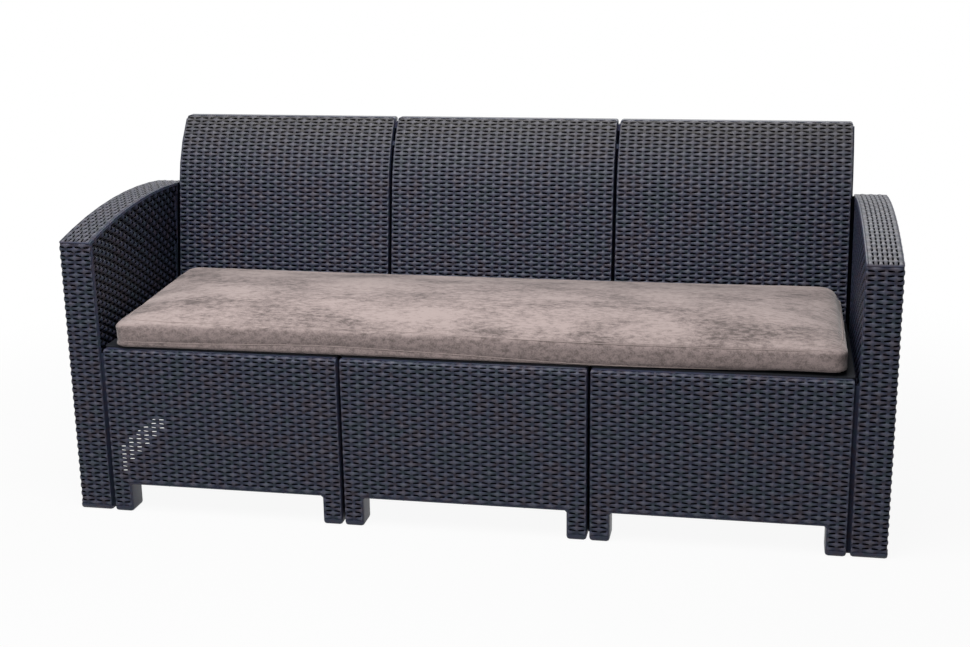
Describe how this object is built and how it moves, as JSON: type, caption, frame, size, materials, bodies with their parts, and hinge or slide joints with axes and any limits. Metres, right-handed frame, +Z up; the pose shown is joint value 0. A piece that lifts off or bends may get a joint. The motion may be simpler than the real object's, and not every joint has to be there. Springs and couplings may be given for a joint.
{
  "type": "rattan garden sofa",
  "caption": "Straight garden sofa of woven-look moulded panels with leaning rolled backs, box arms and one loose seat cushion.",
  "frame": {"origin": "on the ground, in the middle of the sofa's footprint box", "axes": "+X along the seat towards the right arm as seen from the front, +Y from the front to the back, +Z up"},
  "size_m": [1.88, 0.6314, 0.87],
  "materials": {
    "resin": "satin",
    "shaded_resin": "matte",
    "screw_steel": "satin",
    "cushion_cover": "matte"
  },
  "bodies": {
    "sofa": {"front_panel_left": "resin", "front_panel_middle": "resin", "front_panel_right": "resin", "rear_panel_left": "resin", "rear_panel_middle": "resin", "rear_panel_right": "resin", "back_shell_left": "resin", "back_shell_middle": "resin", "back_shell_right": "resin", "seat_panel_left": "shaded_resin", "seat_panel_middle": "shaded_resin", "seat_panel_right": "shaded_resin", "middle_support_left": "shaded_resin", "middle_support_right": "shaded_resin", "back_clip_left_low": "shaded_resin", "back_clip_left_high": "shaded_resin", "back_clip_right_low": "shaded_resin", "back_clip_right_high": "shaded_resin", "arm_shell_left": "resin", "arm_shell_right": "resin", "arm_panel_left": "resin", "arm_panel_right": "resin", "arm_screw_left_front_low": "screw_steel", "arm_screw_left_front_high": "screw_steel", "arm_screw_left_rear_low": "screw_steel", "arm_screw_left_rear_high": "screw_steel", "arm_screw_left_back_low": "screw_steel", "arm_screw_left_back_high": "screw_steel", "arm_screw_right_front_low": "screw_steel", "arm_screw_right_front_high": "screw_steel", "arm_screw_right_rear_low": "screw_steel", "arm_screw_right_rear_high": "screw_steel", "arm_screw_right_back_low": "screw_steel", "arm_screw_right_back_high": "screw_steel"},
    "cushion": {"seat_cushion": "cushion_cover"}
  },
  "joints": [
    {"name": "cushion_lift", "type": "slide", "parent": "sofa", "child": "cushion", "axis": [0, 0, 1], "range_m": [0, 0.25]}
  ]
}
